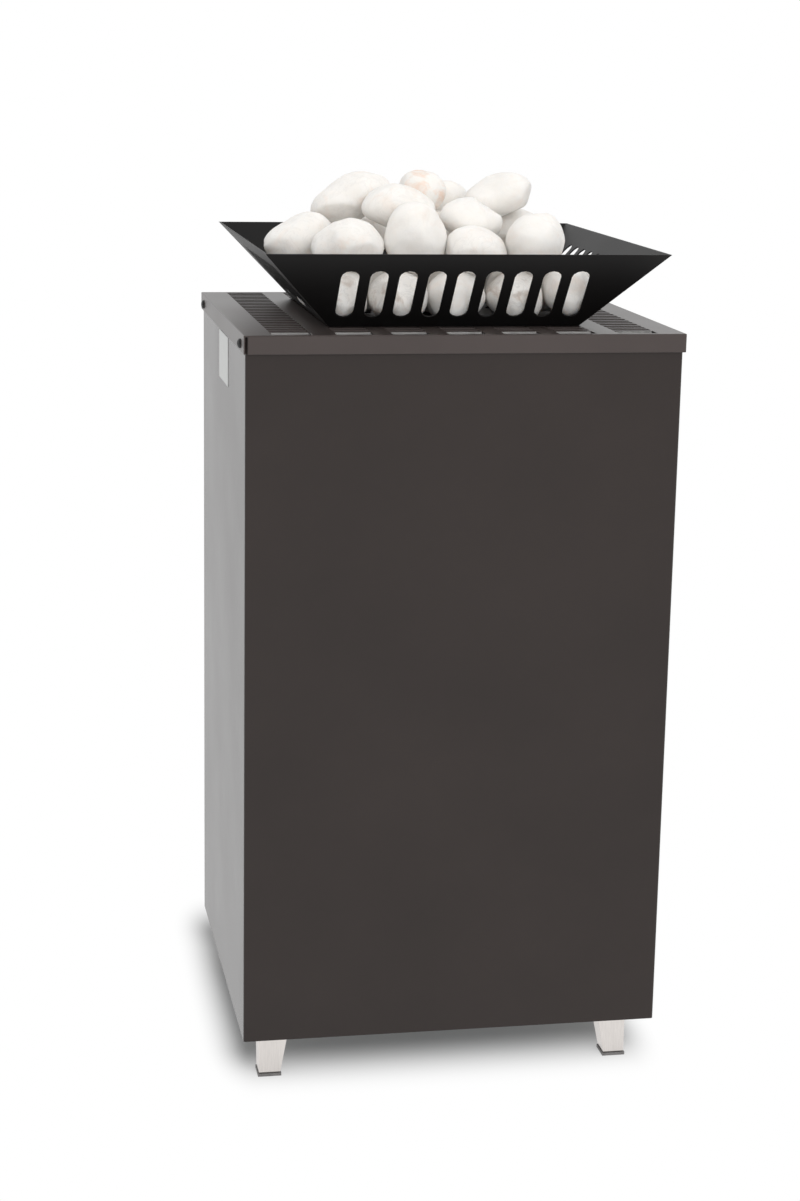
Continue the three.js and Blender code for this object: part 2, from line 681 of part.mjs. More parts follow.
// A lead that rises from a pole of the block and ends under what it feeds
function lead(pole, end) {
  const start = new THREE.Vector3(pole, 0, BLOCK_TOP + SEAT_GAP);
  const finishPoint = new THREE.Vector3(...end);
  const rise = new THREE.Vector3(0, 0, LEAD_RISE);
  const route = new THREE.CatmullRomCurve3([
    start,
    start.clone().add(rise),
    finishPoint.clone().sub(rise),
    finishPoint,
  ]);
  const section = rodSection(LEAD_RADIUS, LEAD_SIDES);
  return new THREE.ExtrudeGeometry(section, { steps: LEAD_STEPS, extrudePath: route });
}

function neutralBar() {
  const reach = (ELEMENT_COUNT - 1) * ELEMENT_SPACING / 2 + NEUTRAL_BAR_OVERHANG;
  const top = TAIL_END - SEAT_GAP;
  return slab(
    around(LAST_LEG, NEUTRAL_BAR_WIDTH),
    [-reach, reach],
    [top - NEUTRAL_BAR_SHEET, top],
  );
}

function cableGland() {
  const flangeTop = FLOOR_TO_CASING - SEAT_GAP;
  const flangeFoot = flangeTop - GLAND_COLLAR_HEIGHT;
  const mouth = flangeFoot - GLAND_DOME_HEIGHT;
  return turned([
    [GLAND_BORE_RADIUS, mouth],
    [GLAND_BORE_RADIUS, BASE_TOP + GLAND_THREAD_LENGTH],
    [GLAND_THREAD_RADIUS, BASE_TOP + GLAND_THREAD_LENGTH],
    [GLAND_THREAD_RADIUS, flangeTop],
    [GLAND_COLLAR_RADIUS, flangeTop],
    [GLAND_COLLAR_RADIUS, flangeFoot],
    [GLAND_DOME_RADIUS, flangeFoot],
    [GLAND_DOME_RADIUS, mouth + GLAND_DOME_HEIGHT / 2],
    [GLAND_MOUTH_RADIUS, mouth],
    [GLAND_BORE_RADIUS, mouth],
  ].reverse(), GLAND_FACETS);
}

function glandLocknut() {
  const foot = BASE_TOP + SEAT_GAP;
  const nut = upright(LOCKNUT_RADIUS, [foot, foot + LOCKNUT_HEIGHT], HEXAGON);
  const through = [foot - LOCKNUT_HEIGHT, foot + 2 * LOCKNUT_HEIGHT];
  const thread = upright(GLAND_THREAD_RADIUS + SCREW_CLEARANCE, through, GLAND_FACETS);
  return shaped([nut], [thread]);
}

// Stone tray, in a frame whose origin is the middle of the lid's top

const TRAY_SLANT = Math.hypot(TRAY_LEAN, TRAY_RIM_HEIGHT - TRAY_FOOT);
const TRAY_LEAN_ANGLE = Math.asin(TRAY_LEAN / TRAY_SLANT);
const TRAY_LEVEL_SHEET = TRAY_SHEET / Math.cos(TRAY_LEAN_ANGLE);

// Half width and half depth of the tray's outside at a height
function trayHalf(z) {
  const out = TRAY_LEAN * (z - TRAY_FOOT) / (TRAY_RIM_HEIGHT - TRAY_FOOT);
  return [TRAY_RIM_WIDTH / 2 - TRAY_LEAN + out, TRAY_RIM_DEPTH / 2 - TRAY_LEAN + out];
}

function traySolid(bottom, top, inset) {
  const face = (z) => {
    const [halfX, halfY] = trayHalf(z).map((half) => half - inset);
    return { x: [-halfX, halfX], y: [-halfY, halfY] };
  };
  return taperedBlock(face(bottom), face(top), [bottom, top]);
}

// One wall's slot, as a bar with round ends that stands square on the wall
function traySlot(wallHalf, along) {
  const radius = TRAY_SLOT_WIDTH / 2;
  const run = TRAY_SLOT_LENGTH - TRAY_SLOT_WIDTH;
  const shape = new THREE.Shape();
  shape.absarc(along, TRAY_SLOT_START + radius + run, radius, 0, Math.PI);
  shape.absarc(along, TRAY_SLOT_START + radius, radius, Math.PI, 2 * Math.PI);
  shape.closePath();
  const thick = 10 * TRAY_SHEET;
  const bar = extruded(shape, thick, TRAY_SLOT_STEPS).translate(0, 0, -thick / 2);
  bar.rotateX(Math.PI / 2 + TRAY_LEAN_ANGLE);
  return bar.translate(0, -wallHalf, TRAY_FOOT);
}

function traySlots() {
  const [footX, footY] = trayHalf(TRAY_FOOT);
  const slots = [];
  for (const along of centred(TRAY_SLOTS, TRAY_SLOT_PITCH)) {
    slots.push(traySlot(footY, along));
    slots.push(traySlot(footY, along).rotateZ(Math.PI));
    slots.push(traySlot(footX, along).rotateZ(Math.PI / 2));
    slots.push(traySlot(footX, along).rotateZ(-Math.PI / 2));
  }
  return slots;
}

function trayVents() {
  const [footX, footY] = trayHalf(TRAY_FOOT).map((half) => half - TRAY_VENT_MARGIN);
  const height = [TRAY_FOOT - TRAY_SHEET, TRAY_FLOOR_TOP + TRAY_SHEET];
  const vents = [];
  for (const x of placesIn([-footX, footX], TRAY_VENT_LENGTH, TRAY_VENT_PITCH_X)) {
    for (const y of placesIn([-footY, footY], TRAY_VENT_WIDTH, TRAY_VENT_PITCH_Y)) {
      vents.push(slab(around(x, TRAY_VENT_LENGTH), around(y, TRAY_VENT_WIDTH), height));
    }
  }
  return vents;
}

function stoneTray() {
  const outside = traySolid(TRAY_FOOT, TRAY_RIM_HEIGHT, 0);
  const inside = traySolid(TRAY_FLOOR_TOP, TRAY_RIM_HEIGHT + TRAY_SHEET, TRAY_LEVEL_SHEET);
  return shaped([outside], [inside, ...traySlots(), ...trayVents()]);
}

// Stones

function stone(length, width, height, turn, tilt, fullness) {
  const geometry = bare(new THREE.IcosahedronGeometry(1, STONE_DETAIL));
  const position = geometry.attributes.position;
  for (let i = 0; i < position.count; i += 1) {
    const x = position.getX(i);
    const girth = 1 + fullness * x;
    const y = position.getY(i) * girth;
    const z = position.getZ(i) * girth;
    position.setXYZ(i, x * length / 2, y * width / 2, z * height / 2);
  }
  geometry.rotateY(-THREE.MathUtils.degToRad(tilt));
  geometry.rotateZ(THREE.MathUtils.degToRad(turn));
  geometry.computeVertexNormals();
  return geometry;
}

function cornerPoints(geometry) {
  const position = geometry.attributes.position;
  return Array.from({ length: position.count }, (_, i) => new THREE.Vector3().fromBufferAttribute(position, i));
}

// The point of a stone that lies farthest along a direction
function farthest(points, direction) {
  let best = points[0];
  let reach = -Infinity;
  for (const point of points) {
    const along = point.dot(direction);
    if (along > reach) {
      reach = along;
      best = point;
    }
  }
  return best;
}

// The clear distance between two rounded stones, walking the shortest line between them into place
function clearBetween(a, centreA, b, centreB) {
  const offset = new THREE.Vector3().subVectors(centreB, centreA);
  const line = offset.clone();
  const towards = new THREE.Vector3();
  const step = new THREE.Vector3();
  let clear = -Infinity;
  for (let round = 0; round < STONE_SEARCH_ROUNDS; round += 1) {
    const length = line.length();
    if (length < TINY) {
      break;
    }
    towards.copy(line).divideScalar(length);
    const near = farthest(a.points, towards);
    const far = farthest(b.points, towards.clone().negate());
    const between = offset.clone().add(far).sub(near);
    clear = Math.max(clear, between.dot(towards));
    step.subVectors(between, line);
    const share = -line.dot(step) / Math.max(step.lengthSq(), TINY);
    if (share < TINY || clear > SEAT_GAP) {
      break;
    }
    line.addScaledVector(step, Math.min(1, share));
  }
  return clear;
}

// The tray's inside as planes: a point on each and the direction that points into the tray
function trayPlanes() {
  const [footX, footY] = trayHalf(TRAY_FOOT).map((half) => half - TRAY_LEVEL_SHEET);
  const across = Math.cos(TRAY_LEAN_ANGLE);
  const up = Math.sin(TRAY_LEAN_ANGLE);
  const vector = (xyz) => new THREE.Vector3(...xyz);
  const plane = (point, inward) => ({ point: vector(point), inward: vector(inward) });
  return [
    plane([0, 0, TRAY_FLOOR_TOP], [0, 0, 1]),
    plane([-footX, 0, TRAY_FOOT], [across, 0, up]),
    plane([footX, 0, TRAY_FOOT], [-across, 0, up]),
    plane([0, -footY, TRAY_FOOT], [0, across, up]),
    plane([0, footY, TRAY_FOOT], [0, -across, up]),
  ];
}

const TRAY_PLANES = trayPlanes();

function liesClear(body, centre, laid) {
  for (const { point, inward } of TRAY_PLANES) {
    const lowest = farthest(body.points, inward.clone().negate());
    if (centre.clone().add(lowest).sub(point).dot(inward) < SEAT_GAP) {
      return false;
    }
  }
  return laid.every((other) => {
    const apart = centre.distanceTo(other.centre);
    return apart > body.reach + other.reach + SEAT_GAP
      || clearBetween(body, centre, other, other.centre) >= SEAT_GAP;
  });
}

// Lowers a stone straight down onto the tray and the stones already laid
function lower(body, x, y, laid) {
  const at = (z) => new THREE.Vector3(x, y, z);
  let clearHeight = STONE_DROP_HEIGHT;
  while (liesClear(body, at(clearHeight - STONE_DROP_STEP), laid)) {
    clearHeight -= STONE_DROP_STEP;
  }
  let step = STONE_DROP_STEP;
  while (step > SEAT_GAP / 10) {
    step /= 2;
    if (liesClear(body, at(clearHeight - step), laid)) {
      clearHeight -= step;
    }
  }
  return at(clearHeight);
}

function layStones() {
  const laid = [];
  for (const [shareX, shareY, length, width, height, turn, tilt, fullness] of STONES) {
    const geometry = stone(length, width, height, turn, tilt, fullness);
    const points = cornerPoints(geometry);
    const body = { geometry, points, reach: Math.max(...points.map((point) => point.length())) };
    body.centre = lower(body, shareX * TRAY_RIM_WIDTH / 2, shareY * TRAY_RIM_DEPTH / 2, laid);
    laid.push(body);
  }
  return laid;
}

// The heater, put together

place(heater, 'casing_wrap', casingWrap(), anthracitePaint);
place(heater, 'rear_panel', rearPanel(), anthracitePaint);
place(heater, 'base_plate', basePlate(), galvanised);
place(heater, 'lid', lid(), anthracitePaint);
place(heater, 'inner_shield', innerShield(), galvanised);

const plateTop = LID_TOP - LID_SKIRT - PLATE_DROP;
place(heater, 'rating_plate', slab(
  [-CASING_WIDTH / 2 - PLATE_SHEET, -CASING_WIDTH / 2],
  around(PLATE_SHIFT, PLATE_LENGTH),
  [plateTop - PLATE_HEIGHT, plateTop],
), plateFoil);

for (const corner of corners) {
  place(heater, `foot_${corner.name}`, foot(corner), brushedSteel);
  place(heater, `glide_${corner.name}`, levellingGlide(corner), blackPlastic);
  const headSeat = corner.x * (LID_WIDTH / 2 + SEAT_GAP);
  const screw = place(heater, `lid_screw_${corner.name}`, lidScrew(), blackScrew,
    [headSeat, corner.y * SCREW_Y, SCREW_HEIGHT]);
  screw.rotation.y = corner.x * Math.PI / 2;
}

place(heater, 'terminal_box', terminalBox(), galvanised);
place(heater, 'terminal_block', terminalBlock(), paleCeramic);
place(heater, 'cable_gland', cableGland(), blackPlastic, [0, GLAND_SETBACK, 0]);
place(heater, 'gland_locknut', glandLocknut(), blackPlastic, [0, GLAND_SETBACK, 0]);

const elements = new THREE.Group();
elements.position.z = BOX_TOP;
heater.add(elements);
// The middle element is wired to the outermost pole, so that no two leads cross
const elementRows = centred(ELEMENT_COUNT, ELEMENT_SPACING).sort((a, b) => Math.abs(a) - Math.abs(b));
elementRows.forEach((y, i) => {
  place(elements, `heating_element_${i + 1}`, heatingElement(), elementSheath, [0, y, 0]);
  const pin = [FIRST_LEG, y, TAIL_END - SEAT_GAP];
  place(heater, `phase_lead_${i + 1}`, lead(POLES[i], pin), silicone);
});
place(elements, 'element_strap_left', elementStrap(), galvanised, [FIRST_LEG, 0, STRAP_RISE]);
place(elements, 'element_strap_right', elementStrap(), galvanised, [LAST_LEG, 0, STRAP_RISE]);
place(heater, 'neutral_bar', neutralBar(), brass);
const barUnderside = TAIL_END - 2 * SEAT_GAP - NEUTRAL_BAR_SHEET;
place(heater, 'neutral_lead', lead(POLES[ELEMENT_COUNT], [LAST_LEG, 0, barUnderside]), silicone);

const tray = new THREE.Group();
tray.position.z = LID_TOP;
heater.add(tray);
place(tray, 'stone_tray', stoneTray(), blackPaint);
layStones().forEach((body, i) => {
  const number = String(i + 1).padStart(2, '0');
  place(tray, `stone_${number}`, body.geometry, whiteStone, body.centre.toArray());
});

export default heater;
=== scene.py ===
"""The looks of a floor-standing sauna heater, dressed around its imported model. Metres, +Z up, front at -Y."""
import math
import random

import bmesh
import bpy
from mathutils import Matrix, Vector, noise


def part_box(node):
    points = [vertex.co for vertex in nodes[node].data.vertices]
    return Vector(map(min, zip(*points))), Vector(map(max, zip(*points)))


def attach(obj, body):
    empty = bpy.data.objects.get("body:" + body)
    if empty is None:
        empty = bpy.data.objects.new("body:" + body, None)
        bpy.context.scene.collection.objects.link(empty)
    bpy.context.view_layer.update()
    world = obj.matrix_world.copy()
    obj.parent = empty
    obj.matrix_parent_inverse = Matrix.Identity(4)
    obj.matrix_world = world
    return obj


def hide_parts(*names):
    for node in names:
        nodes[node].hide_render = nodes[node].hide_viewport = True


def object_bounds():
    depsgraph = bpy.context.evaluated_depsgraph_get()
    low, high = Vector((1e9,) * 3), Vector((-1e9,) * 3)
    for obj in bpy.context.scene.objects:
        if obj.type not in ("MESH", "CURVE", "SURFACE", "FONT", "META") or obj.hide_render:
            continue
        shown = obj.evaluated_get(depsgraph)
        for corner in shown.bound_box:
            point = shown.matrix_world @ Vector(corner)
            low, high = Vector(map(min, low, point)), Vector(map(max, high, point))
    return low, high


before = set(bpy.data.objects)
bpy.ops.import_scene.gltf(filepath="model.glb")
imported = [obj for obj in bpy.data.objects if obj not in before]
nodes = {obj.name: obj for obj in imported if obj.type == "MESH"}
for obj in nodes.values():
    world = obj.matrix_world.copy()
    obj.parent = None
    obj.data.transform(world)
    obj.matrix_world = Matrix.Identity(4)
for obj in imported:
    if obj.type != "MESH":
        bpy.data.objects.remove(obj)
cad_low, cad_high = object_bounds()

MM = 0.001

# Camera, as it stood for the photograph
CAMERA_PLACE = Vector((-0.4708, -2.3682, 1.0273))
CAMERA_AIM = Vector((0.1801, 0.9565, -0.2296))
CAMERA_RIGHT = Vector((0.9833, -0.1809, 0.0178))
FOCAL_LENGTH = 70.18
SENSOR_LONG_SIDE = 36.0
FARTHEST_SEEN = 200

# Studio light
WHITE = (1, 1, 1, 1)
AMBIENT_LEVEL = 0.8
OVERHEAD_PLACE = Vector((0.1, -0.6, 3.2))
OVERHEAD_SIZE = 3.4
OVERHEAD_POWER = 12.0
FILL_PLACE = Vector((0.2, -2.6, 1.6))
FILL_SIZE = 1.8
FILL_POWER = 25.0

# The wall behind the camera, and the Y of a ray at which its grey ends and plain white begins
FRONT_WALL_LEVEL = 0.55
FRONT_WALL_END = -0.8
FRONT_WALL_WHITE = 0.1

# Studio floor, grey as a painted shadow under the heater and white around it
FLOOR_HALF = 40.0
FLOOR_DROP = 0.2 * MM
FLOOR_WHITE = 0.94
# Grey of the painted shadow under the heater
FLOOR_PAINTED_SHADOW_GREY = 0.42
FLOOR_GLOSS_WHITE = 0.8
FLOOR_MOTTLE = (0.98, 1.0)
FLOOR_MOTTLE_SIZE = 0.5

# The patch of painted shadow under the heater, against the casing's footprint
SHADOW_INSET_X = 18 * MM
SHADOW_INSET_Y = 32 * MM
SHADOW_SHIFT_Y = 78 * MM
SHADOW_FADE_X = 50 * MM
SHADOW_FADE_Y = 135 * MM

# Sockets of a mix node that mixes colours
MIX_FACTOR = 0
MIX_FIRST = 6
MIX_SECOND = 7
MIX_RESULT = 2

# Colours, in linear light
ANTHRACITE = (0.025, 0.0185, 0.0165)
# The lid's paint is the casing's anthracite made lighter: painted light for the light the lid catches from
# above
LID_PAINTED_LIGHT_ANTHRACITE = (0.060, 0.048, 0.045)
TRAY_BLACK = (0.006, 0.0055, 0.0055)
SCREW_BLACK = (0.008, 0.008, 0.008)
ZINC = (0.52, 0.53, 0.53)
# The inner shield's zinc: a light grey that is a painted reflection, seen through the lid's front slots
ZINC_PAINTED_REFLECTION = (0.45, 0.445, 0.435)
FOOT_METAL = (0.76, 0.72, 0.69)
BRASS = (0.62, 0.42, 0.15)
PLASTIC_BLACK = (0.02, 0.02, 0.021)
SOLE_GREY = (0.18, 0.172, 0.17)
SILICONE_RED = (0.22, 0.035, 0.02)
CERAMIC = (0.78, 0.74, 0.64)
PLATE_FOIL = (0.52, 0.53, 0.52)
STONE_WHITE = (0.87, 0.845, 0.81)
STONE_RUST = (0.80, 0.56, 0.42)
# Brown of the front stones' patches: partly earthy stain, partly painted shade between the stones
STONE_EARTH_AND_SHADE = (0.50, 0.40, 0.33)

# Paint. Shades, here and below, are shares of a colour at places along a grain
PAINT_CLOUD_SIZE = 160 * MM
PAINT_SHADES = [(0.3, 0.9), (0.7, 1.1)]
PAINT_ROUGHNESS_SPAN = 0.04
PAINT_GRAIN_SIZE = 0.7 * MM
PAINT_GRAIN_DEPTH = 0.02 * MM
TRAY_GRAIN_SIZE = 0.9 * MM

# Galvanised sheet
SPANGLE_SIZE = 9 * MM
SPANGLE_SHADES = [(0.0, 0.82), (1.0, 1.12)]
SPANGLE_ROUGHNESS = (0.34, 0.52)
ZINC_GRAIN_SIZE = 1.5 * MM
ZINC_GRAIN_DEPTH = 0.01 * MM
# A low metallic share, so that the light grey shows as a painted reflection
ZINC_PAINTED_REFLECTION_METALLIC = 0.4

# Brushed metal, with its streaks counted per metre
STREAKS_ACROSS = 2500
STREAKS_ALONG = 60
STREAK_SHADES = [(0.25, 0.86), (0.75, 1.1)]
STREAK_DEPTH = 0.03 * MM
BRUSHED_PATCH_SIZE = 14 * MM
BRUSHED_ROUGHNESS = (0.24, 0.4)

# Moulded plastic and rubber
SKIN_GRAIN_SIZE = 0.5 * MM
SKIN_GRAIN_DEPTH = 0.03 * MM
SKIN_ROUGHNESS_SPAN = 0.08
SKIN_CLOUD_SIZE = 12 * MM
SKIN_SHADES = [(0.3, 0.85), (0.7, 1.2)]

# Sheath of the heating elements
SHEATH_BAND_SIZE = 45 * MM
SHEATH_BAND_STRETCH = (1, 1, 0.4)
SHEATH_GREY = (0.10, 0.095, 0.09)
SHEATH_STRAW = (0.17, 0.13, 0.08)
SHEATH_BLUE = (0.09, 0.09, 0.12)
SHEATH_TINTS = [(0.3, SHEATH_GREY), (0.5, SHEATH_STRAW), (0.68, SHEATH_BLUE)]
SHEATH_PATCH_SIZE = 3 * MM
SHEATH_ROUGHNESS = (0.4, 0.6)
SHEATH_GRAIN_SIZE = 0.8 * MM
SHEATH_GRAIN_DEPTH = 0.02 * MM

# Unglazed ceramic
SPECK_SIZE = 1.4 * MM
SPECK_DEPTH = 0.05 * MM
SPECK_SHADES = [(0.3, 0.7), (0.42, 1.0), (0.8, 1.06)]
CERAMIC_ROUGHNESS = 0.7

# Foil of the blank plate
CRINKLE_SIZE = 9 * MM
CRINKLE_DEPTH = 0.05 * MM
CRINKLE_SHADES = [(0.3, 0.93), (0.7, 1.05)]
FOIL_ROUGHNESS = (0.32, 0.46)
FOIL_METALLIC = 0.35

# Skin of the stones
STONE_CLOUD_SIZE = 30 * MM
STONE_SHADES = [(0.25, 0.95), (0.7, 1.03)]
STONE_ROUGHNESS = (0.62, 0.8)
STONE_IOR = 1.4
STONE_GLOW = 0.85
STONE_GLOW_TINT = (1.0, 0.95, 0.9)
STONE_GLOW_DEPTH = 12 * MM
STAIN_AND_SHADE_SIZE = 22 * MM
STAIN_AND_SHADE_EDGE = 0.14
VEIN_SIZE = 26 * MM
VEIN_STRETCH = (1, 1.6, 0.7)
VEIN_MIDDLE = 0.5
VEIN_HALF = 0.03
VEIN_SHADE = 0.55
PORE_SIZE = 1.6 * MM
PORE_DEPTH = 0.12 * MM
PORE_MASK = [(0.28, 0.16), (0.4, 0)]
PORE_SHADE = 0.6

# Shape of the stones
STONE_COUNT = 27
STONE_LEVELS = 2
STONE_FLATS = 5
STONE_FLAT_SHARE = 0.84
STONE_FLAT_PRESS = 0.7
STONE_SWELL = 3.4 * MM
STONE_SWELL_SIZE = 30 * MM
STONE_DENT = 0.8 * MM
STONE_DENT_SIZE = 10 * MM
STONE_GROWTH = 1.03
STAINED_STONES = (26,)
# Stones whose brown patches are partly stain and partly painted shade
EARTH_AND_SHADE_STONES = (1, 2, 4)
VEINED_STONES = (5, 12, 14, 16, 18, 22, 24)

# Softened edges of the CAD sheets and castings
SHEET_EDGE = 0.35 * MM
FOLD_EDGE = 0.7 * MM
CAST_EDGE = 0.9 * MM
PLATE_EDGE = 0.15 * MM
EDGE_SEGMENTS = 2
SHARP_ANGLE = math.radians(25)
MERGE_DISTANCE = 0.01 * MM

# Rods: three elements, each with its lead
ELEMENT_COUNT = 3
ROD_LEVELS = 2

# Screw heads and shanks, as shares of their own radius, height and length
SCREW_SEGMENTS = 36
HEAD_FOOT = 0.96
HEAD_EDGE_RISE = 0.12
HEAD_DOME_STEPS = (0.35, 0.6, 0.8, 0.93, 1.0)
HEAD_DOME_FALL = 0.42
HEAD_DOME_POWER = 3
SOCKET = 0.46
SOCKET_MOUTH = 1.08
SOCKET_RIM_RISE = 0.94
SOCKET_FLOOR = 0.96
SOCKET_FLOOR_RISE = 0.3
SHANK_TIP = 0.8
SHANK_TIP_FROM = 0.9
LID_SCREW_SHANK = 0.42
REAR_SCREW_SHANK = 0.5

# Screws of the rear panel
REAR_SCREW_RADIUS = 3.6 * MM
REAR_SCREW_HEIGHT = 1.8 * MM
REAR_SCREW_LENGTH = 2.4 * MM
REAR_SCREW_INSET = 9 * MM
REAR_SCREW_END = 40 * MM
REAR_SCREW_ROWS = 5

# Cable gland: radii of its bore, dome nut, collar and thread, and rises between them
GLAND_BORE = 6.5 * MM
GLAND_FLARE = 1.2 * MM
GLAND_FLARE_RISE = 1.5 * MM
GLAND_NOSE = 9.4 * MM
GLAND_SHOULDER = 11.2 * MM
GLAND_SHOULDER_RISE = 1.6 * MM
GLAND_DOME = 14.2 * MM
GLAND_DOME_RISE = 7 * MM
GLAND_RIBS = 24
GLAND_RIB_DEPTH = 0.45 * MM
GLAND_RIB_POINTS = 4
GLAND_GROOVE = 12.6 * MM
GLAND_GROOVE_WIDTH = 0.4 * MM
GLAND_COLLAR = 13.8 * MM
GLAND_COLLAR_FOOT = 13.6 * MM
GLAND_COLLAR_TOP = 13.4 * MM
GLAND_COLLAR_HEIGHT = 7 * MM
GLAND_COLLAR_BEVEL = 0.5 * MM
GLAND_SEAT_GAP = 0.3 * MM
GLAND_THREAD = 11.9 * MM
GLAND_THREAD_DEPTH = 0.7 * MM
GLAND_TURNS = 7
GLAND_ROOT_SHARE = 0.5
GLAND_CREST_SHARE = 0.95


def show(obj):
    """Puts an object into the scene."""
    bpy.context.scene.collection.objects.link(obj)


def camera():
    data = bpy.data.cameras.new("camera")
    data.sensor_fit = "AUTO"
    data.sensor_width = SENSOR_LONG_SIDE
    data.lens = FOCAL_LENGTH
    data.clip_end = FARTHEST_SEEN
    back = -CAMERA_AIM.normalized()
    right = (CAMERA_RIGHT - back * CAMERA_RIGHT.dot(back)).normalized()
    up = back.cross(right)
    turn = Matrix((right, up, back)).transposed().to_4x4()
    obj = bpy.data.objects.new("camera", data)
    obj.matrix_world = Matrix.Translation(CAMERA_PLACE) @ turn
    show(obj)
    bpy.context.scene.camera = obj


# Node helpers

def new_material(name):
    material = bpy.data.materials.new(name)
    material.use_nodes = True
    tree = material.node_tree
    return material, tree, tree.nodes["Principled BSDF"]


def add(tree, kind, **settings):
    node = tree.nodes.new(kind)
    for key, value in settings.items():
        setattr(node, key, value)
    return node


def fill(node, **values):
    """Sets inputs by name, with underscores for the spaces."""
    for key, value in values.items():
        node.inputs[key.replace("_", " ")].default_value = value
    return node


def place_in(tree, stretch=(1, 1, 1)):
    coordinates = add(tree, "ShaderNodeTexCoord")
    mapping = fill(add(tree, "ShaderNodeMapping"), Scale=stretch)
    tree.links.new(coordinates.outputs["Object"], mapping.inputs["Vector"])
    return mapping.outputs["Vector"]


def grain(tree, vector, size, detail=3.0, roughness=0.55, distortion=0.0):
    node = add(tree, "ShaderNodeTexNoise")
    fill(node, Scale=1 / size, Detail=detail, Roughness=roughness, Distortion=distortion)
    tree.links.new(vector, node.inputs["Vector"])
    return node.outputs["Fac"]


def ramp(tree, factor, stops):
    """Colours at places along a factor."""
    node = add(tree, "ShaderNodeValToRGB")
    while len(node.color_ramp.elements) < len(stops):
        node.color_ramp.elements.new(0.5)
    for element, (position, colour) in zip(node.color_ramp.elements, stops):
        element.position = position
        element.color = (*colour, 1)
    tree.links.new(factor, node.inputs["Fac"])
    return node.outputs["Color"]


def scaled(colour, share):
    return tuple(min(1.0, channel * share) for channel in colour)


def shaded(tree, factor, colour, shades):
    """Shares of one colour at places along a factor."""
    return ramp(tree, factor, [(position, scaled(colour, share)) for position, share in shades])


def mask(tree, factor, stops):
    """Greys at places along a factor."""
    return ramp(tree, factor, [(position, (level,) * 3) for position, level in stops])


def spread(tree, value, low, high):
    node = fill(add(tree, "ShaderNodeMapRange"), To_Min=low, To_Max=high)
    tree.links.new(value, node.inputs["Value"])
    return node.outputs["Result"]


def around(tree, value, middle, span):
    return spread(tree, value, middle - span, middle + span)


def joined(tree, operation, first, second):
    """One value from two, by an operation such as their product."""
    node = add(tree, "ShaderNodeMath", operation=operation)
    tree.links.new(first, node.inputs[0])
    tree.links.new(second, node.inputs[1])
    return node.outputs[0]


def mixed(tree, factor, first, colour):
    """A colour socket, with a plain colour laid over it by a factor."""
    node = add(tree, "ShaderNodeMix", data_type="RGBA")
    tree.links.new(factor, node.inputs[MIX_FACTOR])
    tree.links.new(first, node.inputs[MIX_FIRST])
    node.inputs[MIX_SECOND].default_value = (*colour, 1)
    return node.outputs[MIX_RESULT]


def choice(tree, share, first, second):
    """Two shaders mixed, by the second one's share."""
    node = add(tree, "ShaderNodeMixShader")
    for socket, source in zip(node.inputs, (share, first, second)):
        tree.links.new(source, socket)
    return node.outputs[0]


def bump(tree, shader, height, depth):
    node = fill(add(tree, "ShaderNodeBump"), Distance=depth)
    tree.links.new(height, node.inputs["Height"])
    tree.links.new(node.outputs["Normal"], shader.inputs["Normal"])


def surface(tree, shader, colour, roughness):
    tree.links.new(colour, shader.inputs["Base Color"])
    tree.links.new(roughness, shader.inputs["Roughness"])


# Materials

def paint(name, colour, roughness, ior, grain_size=PAINT_GRAIN_SIZE):
    """Baked paint: a fine grain in its surface, and a faint cloudiness in its colour and gloss."""
    material, tree, shader = new_material(name)
    vector = place_in(tree)
    cloud = grain(tree, vector, PAINT_CLOUD_SIZE, detail=4)
    tint = shaded(tree, cloud, colour, PAINT_SHADES)
    surface(tree, shader, tint, around(tree, cloud, roughness, PAINT_ROUGHNESS_SPAN))
    fill(shader, IOR=ior)
    bump(tree, shader, grain(tree, vector, grain_size, detail=2), PAINT_GRAIN_DEPTH)
    return material


def galvanised(name, colour, metallic=1.0):
    """Zinc coating with its spangle: flat crystals, each with its own grey and gloss."""
    material, tree, shader = new_material(name)
    vector = place_in(tree)
    cells = fill(add(tree, "ShaderNodeTexVoronoi"), Scale=1 / SPANGLE_SIZE, Randomness=1.0)
    tree.links.new(vector, cells.inputs["Vector"])
    split = add(tree, "ShaderNodeSeparateColor")
    tree.links.new(cells.outputs["Color"], split.inputs["Color"])
    tint = shaded(tree, split.outputs["Red"], colour, SPANGLE_SHADES)
    surface(tree, shader, tint, spread(tree, split.outputs["Green"], *SPANGLE_ROUGHNESS))
    fill(shader, Metallic=metallic)
    bump(tree, shader, grain(tree, vector, ZINC_GRAIN_SIZE), ZINC_GRAIN_DEPTH)
    return material


def brushed(name, colour, streaks):
    """Brushed metal: fine streaks along one direction, and a little dulling in patches."""
    material, tree, shader = new_material(name)
    streak = grain(tree, place_in(tree, streaks), size=1, detail=4, roughness=0.7)
    patch = grain(tree, place_in(tree), BRUSHED_PATCH_SIZE)
    tint = shaded(tree, streak, colour, STREAK_SHADES)
    surface(tree, shader, tint, spread(tree, patch, *BRUSHED_ROUGHNESS))
    fill(shader, Metallic=1.0)
    bump(tree, shader, streak, STREAK_DEPTH)
    return material


def moulded(name, colour, roughness=0.55):
    """Moulded plastic or rubber with a fine leathery skin."""
    material, tree, shader = new_material(name)
    vector = place_in(tree)
    fine = grain(tree, vector, SKIN_GRAIN_SIZE, detail=2)
    tint = shaded(tree, grain(tree, vector, SKIN_CLOUD_SIZE), colour, SKIN_SHADES)
    surface(tree, shader, tint, around(tree, fine, roughness, SKIN_ROUGHNESS_SPAN))
    bump(tree, shader, fine, SKIN_GRAIN_DEPTH)
    return material


